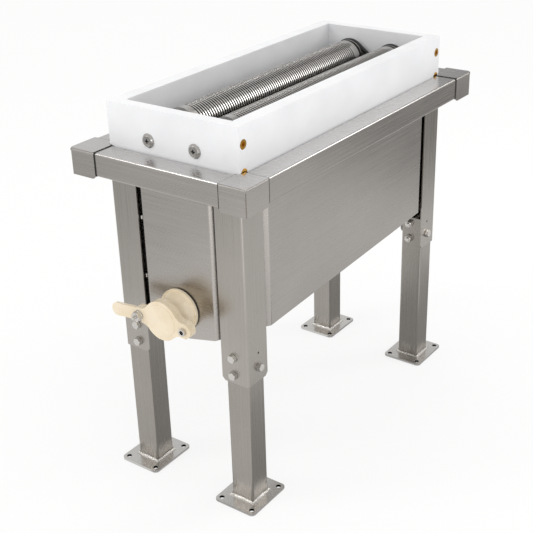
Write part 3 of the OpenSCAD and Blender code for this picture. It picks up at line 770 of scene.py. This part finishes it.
@dataclass
class Rim:
    """Four folded rails with their ledge, and sheet caps over the corners."""

    edge: float = 0.3
    cap_edge: float = 0.5
    # Width of the painted gap shadows on the front and rear rails, and on the side rails
    joint: Pair = (2.6, 3.4)
    joint_edge: float = 0.08
    proud: float = 0.2
    bite: float = 0.4
    top_from: float = 612.0
    upward: float = 0.5
    box_half: Pair = (132.5, 318.5)

    def is_top(self, place: Vector, normal: Vector) -> bool:
        """Whether a face is part of the rim's upper side."""
        return normal.z > self.upward and place.z > self.top_from * MM

    def strip(self, low: Vector, high: Vector) -> Workpiece:
        """One thin strip of painted gap shadow, with its edges rounded."""
        strip = Workpiece.box("cap_gap_painted_shadows", low * MM, high * MM)
        return strip.ease(self.joint_edge * MM, segments=1)

    def joints(self) -> None:
        """Draws the painted shadow of the gap beside each end of each corner cap, over rail top
        and face.
        """
        cap = [v.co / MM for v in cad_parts["corner_cap_rear_right"].data.vertices]
        rail = [v.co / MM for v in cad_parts["rim_rail_right"].data.vertices]
        end = Vector((min(p.x for p in cap), min(p.y for p in cap), 0))
        out = Vector((max(p.x for p in rail), max(p.y for p in rail), 0))
        low, top = min(p.z for p in rail), max(p.z for p in rail)
        strips = []
        for sx, sy in CORNERS.values():
            for along, across, sa, sc in ((X, Y, sx, sy), (Y, X, sy, sx)):
                face = out[across]
                for near, far, z in (
                        (self.box_half[across], face + self.proud, top - self.bite),
                        (face - self.bite, face + self.proud, low)):
                    a, b = Vector((0, 0, z)), Vector((0, 0, top + self.proud))
                    a[along], b[along] = sorted((sa * end[along],
                                                 sa * (end[along] - self.joint[along])))
                    a[across], b[across] = sorted((sc * near, sc * far))
                    strips.append(self.strip(a, b))
        strips[0].join(strips[1:])
        strips[0].obj.name = "cap_gap_painted_shadows"
        # Painted shadow: dark strips where the gaps beside the caps lie in shade
        strips[0].dress(Finish.CAP_GAP_SHADOW, "stand", "stainless_sheet")

    def build(self) -> None:
        """Makes rails, caps and the painted gap shadows beside the caps."""
        for side in ("front", "rear", "left", "right"):
            finish = Finish.SHEET_X if side in ("front", "rear") else Finish.SHEET_Y
            rail = dressed("rim_rail_" + side, finish, "stand", "stainless_sheet", self.edge)
            # Painted highlight: the rail's upper faces get the lighter copy of the sheet
            rail.accent(Finish.RIM_TOP_HIGHLIGHT, self.is_top)
        for corner in CORNERS:
            cap = dressed("corner_cap_" + corner, Finish.SHEET_X, "stand", "stainless_sheet",
                          self.cap_edge)
            # Painted highlight: the cap's upper faces get the lighter copy of the sheet
            cap.accent(Finish.RIM_TOP_HIGHLIGHT, self.is_top)
        self.joints()


@dataclass
class Stand:
    """Uprights welded to the rim, leg tubes bolted inside them, and foot plates."""

    # Upright faces, leg middles and rounded edges
    face_x: float = 135.0
    face_y: float = 321.0
    leg_x: float = 110.0
    leg_y: float = 296.0
    tube: float = 45.0
    upright_edge: float = 0.9
    tube_edge: float = 0.4
    plate_edge: float = 0.7
    # Where the bolts sit: from the upright's side face, and up from its lower end
    bolt_in: float = 30.0
    front_low: float = 242.0
    rear_low: float = 263.0
    end_bolts: Pair = (15.5, 48.5)
    side_bolt: float = 27.0
    bolt_turn: float = 17.0
    # The M8 bolt, its nut and its washers; grip is what lies between the washers
    grip: float = 47.5
    washer: float = 1.6
    across_flats: float = 13.0
    chamfer_share: float = 0.94
    chamfer_angle: float = 28.0
    head: float = 5.3
    nut: float = 6.5
    thread: float = 8.0
    thread_end: float = 3.0
    thread_gap: float = 0.1
    thread_sides: int = 32
    bore_over: float = 1.0
    bolt_edge: float = 0.25
    thread_edge: float = 0.6
    nut_edge: float = 0.2
    hexagon_angle: float = 25.0
    # The holes of the foot plates, from the middle of the leg
    hole_in: Pair = (32.5, 40.0)
    hole_reach: float = 5.6
    # The weld beads on the plates; below bead_still they have no ripples
    bead: float = 3.2
    bead_lap: float = 0.3
    bead_crest: float = 0.9
    bead_reach: float = 0.1
    bead_round: float = 0.8
    bead_cuts: int = 9
    bead_still: float = 0.5
    ripple: float = 0.14
    # The weld tacks
    tack: Triple = (4.5, 3.0, 7.0)
    tack_x: float = 78.5
    tack_y: float = 315.0
    tack_heights: tuple[float, ...] = (556.0, 498.0, 391.0)
    tack_edge: float = 1.4
    tack_cuts: int = 2
    tack_ripple: float = 0.2
    weld_smooth: float = 60.0

    def bolt_places(self) -> list[Matrix]:
        """Where the twelve leg bolts go, each from the upright's face inwards.

        Returns:
            Three places for each corner.
        """
        places = []
        turn = 0.0
        for sx, sy in CORNERS.values():
            low = self.front_low if sy < 0 else self.rear_low
            for z in self.end_bolts:
                turn += self.bolt_turn
                places.append(facing(
                    mm(sx * (self.face_x - self.bolt_in), sy * self.face_y, low + z),
                    Vector((0, -sy, 0)), turn))
            turn += self.bolt_turn
            places.append(facing(
                mm(sx * self.face_x, sy * (self.face_y - self.bolt_in), low + self.side_bolt),
                Vector((-sx, 0, 0)), turn))
        return places

    def hexagon(self, name: str, start: float, end: float, both: bool) -> Workpiece:
        """A hexagon with its corners chamfered.

        Args:
            name: The piece's name.
            start: Its lower end, which is chamfered, in mm.
            end: Its upper end, in mm.
            both: Whether the upper end is chamfered too.

        Returns:
            The hexagon.
        """
        corner = self.across_flats / 2 / math.cos(math.pi / 6) * MM
        flat = self.across_flats / 2 * self.chamfer_share * MM
        slope = 1.0 / math.tan(math.radians(self.chamfer_angle))
        start, end = start * MM, end * MM
        wide = flat + (end - start) * slope
        piece = Workpiece.drum(name, corner, start, end, sides=6)
        piece.carve(Workpiece.drum("cone", flat, start, end, end_radius=wide), Cut.INSIDE)
        if both:
            piece.carve(Workpiece.drum("cone", wide, start, end, end_radius=flat), Cut.INSIDE)
        return piece

    def bolts(self) -> None:
        """Makes bolts, nuts and washers once each and puts them at their places."""
        places = self.bolt_places()
        top = -self.washer - self.head
        bolt = self.hexagon("leg_bolts_dressed", top, -self.washer, False)
        bolt.ease(self.bolt_edge * MM, angle=self.hexagon_angle)
        shank_end = (self.grip + self.washer + self.nut + self.thread_end) * MM
        shank = Workpiece.drum("shank", self.thread / 2 * MM, -self.washer * MM, shank_end,
                               self.thread_sides)
        shank.ease(self.thread_edge * MM, segments=1)
        bolt.join([shank]).repeat(places)
        bolt.dress(Finish.FASTENER, "stand", "fastener_steel", "leg_bolts")

        low = self.grip + self.washer
        nut = self.hexagon("leg_nuts_dressed", low, low + self.nut, True)
        bore = Workpiece.drum("bore", (self.thread / 2 + self.thread_gap) * MM,
                              (low - self.bore_over) * MM,
                              (low + self.nut + self.bore_over) * MM, self.thread_sides)
        nut.carve(bore).ease(self.nut_edge * MM, angle=self.hexagon_angle).repeat(places)
        nut.dress(Finish.FASTENER, "stand", "fastener_steel", "leg_nuts")
        dressed("leg_washers", Finish.BRIGHT, "stand", "fastener_steel", self.bolt_edge)

    def in_floor_hole(self, place: Vector, normal: Vector) -> bool:
        """Tells whether a face of a foot plate is the wall of one of its bolt holes.

        Args:
            place: The face's middle.
            normal: Its normal.

        Returns:
            True for a hole's wall.
        """
        x = abs(abs(abs(place.x) / MM - self.leg_x) - self.hole_in[X])
        y = abs(abs(abs(place.y) / MM - self.leg_y) - self.hole_in[Y])
        return math.hypot(x, y) < self.hole_reach and abs(normal.z) < ALONG

    def beads(self) -> None:
        """Lays a rippled weld bead round the foot of each leg tube, on its plate."""
        top = max(v.co.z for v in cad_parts["foot_plate_front_left"].data.vertices)
        half = (self.tube / 2 + self.bead) * MM
        bead = Workpiece.box("foot_weld_beads", Vector((-half, -half, top)),
                             Vector((half, half, top + self.bead * MM)))
        bead.pick(Part.FACE, lambda place, normal: abs(normal.z) > ALONG)
        bpy.ops.mesh.inset(thickness=(self.bead + self.bead_lap) * MM)
        bpy.ops.mesh.delete(type="FACE")
        bead.pick(Part.EDGE, lambda place, way: abs(way.z) < ACROSS
                  and place.z > top + self.bead * MM * self.bead_crest
                  and max(abs(place.x), abs(place.y)) > half - self.bead_reach * MM)
        bpy.ops.mesh.bevel(offset=self.bead * self.bead_round * MM, segments=3,
                           affect="EDGES")
        bead.edit()
        bpy.ops.mesh.subdivide(number_cuts=self.bead_cuts)
        bead.pick(Part.VERT, lambda place, normal: place.z > top + self.bead_still * MM)
        bpy.ops.transform.vertex_random(offset=self.ripple * MM, uniform=0.0, normal=1.0,
                                        seed=7)
        bead.repeat([Matrix.Translation(mm(sx * self.leg_x, sy * self.leg_y, 0))
                     for sx, sy in CORNERS.values()])
        bead.dress(Finish.WELD, "stand", "stainless_section", smooth=self.weld_smooth)

    def tacks(self) -> None:
        """Lays short weld tacks in the gaps between the left uprights and the ends."""
        low = Vector(self.tack) * -0.5 * MM
        tack = Workpiece.box("upright_weld_tacks", low, -low)
        tack.ease(self.tack_edge * MM, segments=3)
        tack.edit()
        bpy.ops.mesh.subdivide(number_cuts=self.tack_cuts)
        bpy.ops.transform.vertex_random(offset=self.tack_ripple * MM, uniform=0.0, normal=1.0,
                                        seed=3)
        tack.repeat([Matrix.Translation(mm(sx * self.tack_x, sy * self.tack_y, z))
                     for sx, sy in CORNERS.values() if sx < 0 for z in self.tack_heights])
        tack.dress(Finish.WELD, "stand", "stainless_section", smooth=self.weld_smooth)

    def build(self) -> None:
        """Makes the stand."""
        for corner in CORNERS:
            for node, edge, finish in (("upright_", self.upright_edge, Finish.SECTION),
                                       ("leg_", self.tube_edge, Finish.TUBE)):
                dressed(node + corner, finish, "stand", "stainless_section", edge,
                        segments=3)
            plate = dressed("foot_plate_" + corner, Finish.PLATE, "stand", "stainless_section",
                            self.plate_edge)
            # Painted shade: the walls of the floor holes get the dark recess finish
            plate.accent(Finish.HOLLOW_SHADE, self.in_floor_hole)
        self.bolts()
        self.beads()
        self.tacks()


@dataclass
class HoneyGate:
    """The cream gate: body and blade, seal, backnut, screw and stud."""

    body_edge: float = 0.9
    blade_merge: float = 0.4
    blade_edge: float = 1.6
    nut_edge: float = 0.8
    seal_edge: float = 0.4
    screw_edge: float = 0.5
    recess: float = 3.4

    def build(self) -> None:
        """Makes the gate."""
        dressed("gate_body", Finish.GATE, "stand", "gate_plastic", self.body_edge,
                segments=3)
        blade = Workpiece.copy_of("gate_blade").merge(self.blade_merge * MM)
        blade.ease(self.blade_edge * MM, segments=4)
        blade.dress(Finish.GATE, "gate_blade", "gate_plastic", "gate_blade")
        dressed("gate_backnut", Finish.GATE, "stand", "gate_plastic", self.nut_edge)
        dressed("gate_seal", Finish.SEAL, "stand", "seal_rubber", self.seal_edge)
        for node, body in (("gate_pivot_screw", "stand"), ("gate_stud", "stand"),
                           ("gate_lock_nut", "gate_lock_nut")):
            piece = dressed(node, Finish.FASTENER, body, "fastener_steel", self.screw_edge)
            if node == "gate_pivot_screw":
                # Painted shade in the screw's cross recess
                piece.darken_recesses(Finish.HOLLOW_SHADE, Y, self.recess * MM)


@dataclass
class RollerBox:
    """Four white boards, brass bolts, axle screws in cup washers."""

    board_edge: float = 1.4
    bolt_edge: float = 0.5
    bolt_recess: float = 3.4
    screw_edge: float = 0.3
    screw_recess: float = 4.2
    cup_edge: float = 0.4

    def build(self) -> None:
        """Makes the box."""
        body = "roller_box"
        for node in ("box_side_left", "box_side_right", "box_end_front", "box_end_rear"):
            dressed(node, Finish.BOARD, body, "box_plastic", self.board_edge, segments=3)
        bolts = dressed("corner_bolts", Finish.BRASS, body, "bolt_brass", self.bolt_edge)
        # Painted shade in the bolts' hexagon recesses
        bolts.darken_recesses(Finish.BRASS_HOLLOW_SHADE, X, self.bolt_recess * MM)
        screws = dressed("axle_screws", Finish.BRIGHT, body, "fastener_steel", self.screw_edge)
        # Painted shade in the screws' cross recesses
        screws.darken_recesses(Finish.HOLLOW_SHADE, Y, self.screw_recess * MM)
        dressed("cup_washers", Finish.BRIGHT, body, "fastener_steel", self.cup_edge)


@dataclass
class Rollers:
    """Two ribbed rollers on fixed axles, joined by a crossed round belt."""

    across: float = 47.0
    height: float = 637.0
    crest: float = 32.0
    crest_depth: float = 0.6
    tube_bore: float = 26.0
    bore_wall: float = 1.0
    end_cosine: float = 0.99
    rib_edge: float = 0.35
    rib_angle: float = 30.0
    inner_edge: float = 0.5
    spacer_edge: float = 0.4
    belt_smooth: float = 60.0

    def in_groove(self, sx: int) -> Callable[[Vector, Vector], bool]:
        """A test for the faces of a roller that lie between its ribs.

        Args:
            sx: -1 for the left roller, 1 for the right one.

        Returns:
            The test.
        """
        middle = mm(sx * self.across, 0, self.height)
        inner, outer = self.tube_bore + self.bore_wall, self.crest - self.crest_depth

        def test(place: Vector, normal: Vector) -> bool:
            """Whether a face lies below the crests and outside the bore."""
            radius = math.hypot(place.x - middle.x, place.z - middle.z) / MM
            return inner < radius < outer and abs(normal.y) < self.end_cosine

        return test

    def build(self) -> None:
        """Makes the rollers."""
        for side, sx in (("left", -1), ("right", 1)):
            body = "roller_" + side
            shell = Workpiece.copy_of(body + "_shell")
            shell.ease(self.rib_edge * MM, angle=self.rib_angle)
            shell.dress(Finish.ALUMINIUM, body, "roller_aluminium", body + "_shell")
            # Painted shade: the faces between the ribs get the dark groove finish
            shell.accent(Finish.GROOVE_SHADE, self.in_groove(sx))
            for kind, finish, slot in (("_plugs", Finish.ALUMINIUM, "roller_aluminium"),
                                       ("_pulley", Finish.ALUMINIUM, "roller_aluminium"),
                                       ("_bushes", Finish.NYLON, "bush_plastic")):
                dressed(body + kind, finish, body, slot, self.inner_edge)
            dressed("axle_" + side, Finish.AXLE, "roller_box", "axle_steel", self.inner_edge)
        for node in ("front_spacers", "rear_spacers"):
            dressed(node, Finish.AXLE, "roller_box", "axle_steel", self.spacer_edge)
        belt = Workpiece.copy_of("drive_belt")
        belt.modify("SUBSURF", levels=1, render_levels=1)
        belt.dress(Finish.BELT, "roller_box", "belt_rubber", "drive_belt",
                   smooth=self.belt_smooth)


@dataclass(frozen=True)
class Card:
    """A lit card that only shows in reflections, in metres; its tone changes along one axis."""

    name: str
    finish: str
    low: Triple
    high: Triple
    axis: int
    dark_at: float
    light_at: float
    dark: str
    light: str

    def material(self) -> bpy.types.Material:
        """Makes the card's glow.

        Returns:
            The material.
        """
        material, tree, place = start_material(self.finish)
        along = add_node(tree, "SeparateXYZ", {"Vector": place}).outputs[self.axis]
        tone = two_tone(tree, along, (self.dark_at, self.light_at), self.dark, self.light)
        glow = add_node(tree, "Emission", {"Color": tone})
        end = next(n for n in tree.nodes if n.type == "OUTPUT_MATERIAL")
        tree.links.new(glow.outputs[0], end.inputs["Surface"])
        return material

    def put_up(self) -> None:
        """Puts the card up, flat or upright across Y."""
        leave_edit_mode()
        low, high = Vector(self.low), Vector(self.high)
        upright = high.z > low.z
        turn = math.pi / 2 if upright else 0.0
        bpy.ops.mesh.primitive_plane_add(size=1, location=(low + high) / 2,
                                         rotation=(turn, 0, 0))
        obj = bpy.context.object
        obj.name = self.name
        obj.scale = (high.x - low.x, high.z - low.z if upright else high.y - low.y, 1)
        bpy.ops.object.transform_apply(location=True, rotation=True, scale=True)
        obj.data.materials.append(self.material())
        obj.visible_camera = obj.visible_diffuse = obj.visible_shadow = False
        obj.visible_transmission = False


@dataclass(frozen=True)
class Lamp:
    """A soft box: place, size and aim in metres, and its power in watts."""

    name: str
    place: Triple
    size: Pair
    power: float
    aim: Triple = (0.0, 0.0, 0.5)

    def put_up(self) -> None:
        """Puts the soft box up, unseen by the camera."""
        data = bpy.data.lights.new(self.name, "AREA")
        data.shape = "RECTANGLE"
        data.size, data.size_y = self.size
        data.energy = self.power
        obj = bpy.data.objects.new(self.name, data)
        bpy.context.scene.collection.objects.link(obj)
        place = Vector(self.place)
        obj.location = place
        obj.rotation_euler = (Vector(self.aim) - place).to_track_quat("-Z", "Y").to_euler()
        obj.visible_camera = False


@dataclass
class Studio:
    """Plain pale floor, soft lights, and the camera at the photograph's place."""

    # The camera, as it was fitted to the photograph: degrees, pixels and millimetres
    azimuth: float = 36.543
    elevation: float = 25.962
    roll: float = -1.751
    focal_px: float = 1051.64
    frame_px: float = 533.0
    shift_x: float = -43.06
    shift_y: float = -136.46
    distance: float = 1942.41
    target_z: float = 450.0
    sensor: float = 36.0
    clip: Pair = (0.05, 100.0)
    # The sky, and the floor in metres
    sky: float = 0.96
    sky_colour: tuple[float, float, float, float] = (1.0, 0.99, 0.975, 1.0)
    floor_size: float = 60.0
    floor_z: float = -0.0003
    floor_fleck: float = 3.0
    floor_rough: Pair = (0.8, 0.9)
    floor_grey: float = 0.22
    floor_glow: float = 0.76
    cards: tuple[Card, ...] = (
        Card("card_right", "card_grey_right", (0.35, 0.25, 0.003), (2.4, 2.6, 0.003),
             axis=Y, dark_at=1.50, light_at=0.95, dark="949494", light="f2f2f2"),
        Card("card_left", "card_grey_left", (-2.4, -2.4, 0.003), (-0.45, -0.75, 0.003),
             axis=X, dark_at=-0.85, light_at=-0.5, dark="cecece", light="ffffff"),
        Card("card_legs", "card_grey_legs", (-0.08, -0.35, 0.002), (0.36, 0.72, 0.002),
             axis=X, dark_at=-0.08, light_at=0.36, dark="b4b4b4", light="bcbcbc"),
        Card("card_rear", "card_white_rear", (-2.6, 1.5, 0.85), (0.1, 1.5, 2.3),
             axis=X, dark_at=-0.1, light_at=-1.0, dark="6c6c6c", light="e6e6e6"))
    lamps: tuple[Lamp, ...] = (
        Lamp("key_left", (-1.6, -1.9, 2.4), (0.7, 0.7), 11.0),
        Lamp("top", (0.2, 0.1, 2.8), (2.0, 1.4), 4.0),
        Lamp("fill_right", (1.0, -0.1, 1.7), (0.7, 1.2), 0.8, aim=(-0.1, 0.0, 0.64)),
        Lamp("front_right", (0.9, -1.6, 0.75), (0.5, 0.5), 2.0, aim=(0.0, -0.34, 0.36)),
        Lamp("side_strip", (1.1, 1.5, 1.5), (0.5, 0.9), 6.0),
        Lamp("corner_low", (0.95, -0.95, 0.06), (0.45, 0.45), 0.7, aim=(0.1, -0.3, 0.45)))

    def camera(self) -> None:
        """Puts the camera where it was worked out to stand."""
        az, el, roll = (math.radians(v) for v in (self.azimuth, self.elevation, self.roll))
        back = Vector((math.sin(az) * math.cos(el), -math.cos(az) * math.cos(el), math.sin(el)))
        right = (-back).cross(Vector((0, 0, 1))).normalized()
        up = right.cross(-back)
        turned_right = math.cos(roll) * right + math.sin(roll) * up
        turned_up = -math.sin(roll) * right + math.cos(roll) * up
        data = bpy.data.cameras.new("camera")
        data.sensor_width = self.sensor
        data.lens = self.focal_px / self.frame_px * data.sensor_width
        data.clip_start, data.clip_end = self.clip
        obj = bpy.data.objects.new("camera", data)
        bpy.context.scene.collection.objects.link(obj)
        eye = (mm(0, 0, self.target_z) + turned_right * self.shift_x * MM
               + turned_up * self.shift_y * MM + back * self.distance * MM)
        turn = Matrix((turned_right, turned_up, back)).transposed()
        obj.matrix_world = Matrix.Translation(eye) @ turn.to_4x4()
        bpy.context.scene.camera = obj

    def floor(self) -> None:
        """Lays the floor: a white light table, which hardly takes a shadow."""
        leave_edit_mode()
        bpy.ops.mesh.primitive_plane_add(size=self.floor_size, location=(0, 0, self.floor_z))
        obj = bpy.context.object
        obj.name = "floor"
        material, tree, place = start_material("floor_light_table")
        shader = tree.nodes["Principled BSDF"]
        fleck = add_node(tree, "TexNoise", {
            "Vector": place, "Scale": self.floor_fleck}).outputs["Fac"]
        rough = add_node(tree, "MapRange", {
            "Value": fleck, "To Min": self.floor_rough[0],
            "To Max": self.floor_rough[1]}).outputs["Result"]
        tree.links.new(rough, shader.inputs["Roughness"])
        shader.inputs["Base Color"].default_value = (*[self.floor_grey] * 3, 1.0)
        shader.inputs["Specular IOR Level"].default_value = 0.0
        shader.inputs["Emission Color"].default_value = (1.0, 1.0, 1.0, 1.0)
        shader.inputs["Emission Strength"].default_value = self.floor_glow
        obj.data.materials.append(material)

    def build(self) -> None:
        """Makes the studio."""
        scene = bpy.context.scene
        scene.view_settings.view_transform = "Standard"
        world = bpy.data.worlds.new("studio")
        world.use_nodes = True
        sky = world.node_tree.nodes["Background"]
        sky.inputs["Color"].default_value = self.sky_colour
        sky.inputs["Strength"].default_value = self.sky
        scene.world = world
        self.floor()
        for piece in self.cards + self.lamps:
            piece.put_up()
        self.camera()


def main() -> None:
    """Builds the object's sub-assemblies in order, then the studio."""
    logging.basicConfig(level=logging.INFO, format="%(name)s %(message)s")
    for assembly in (Tub(), Rim(), Stand(), HoneyGate(), RollerBox(), Rollers(), Studio()):
        assembly.build()
        leave_edit_mode()
        log.info("%s done", type(assembly).__name__)


if __name__ == "__main__":
    main()
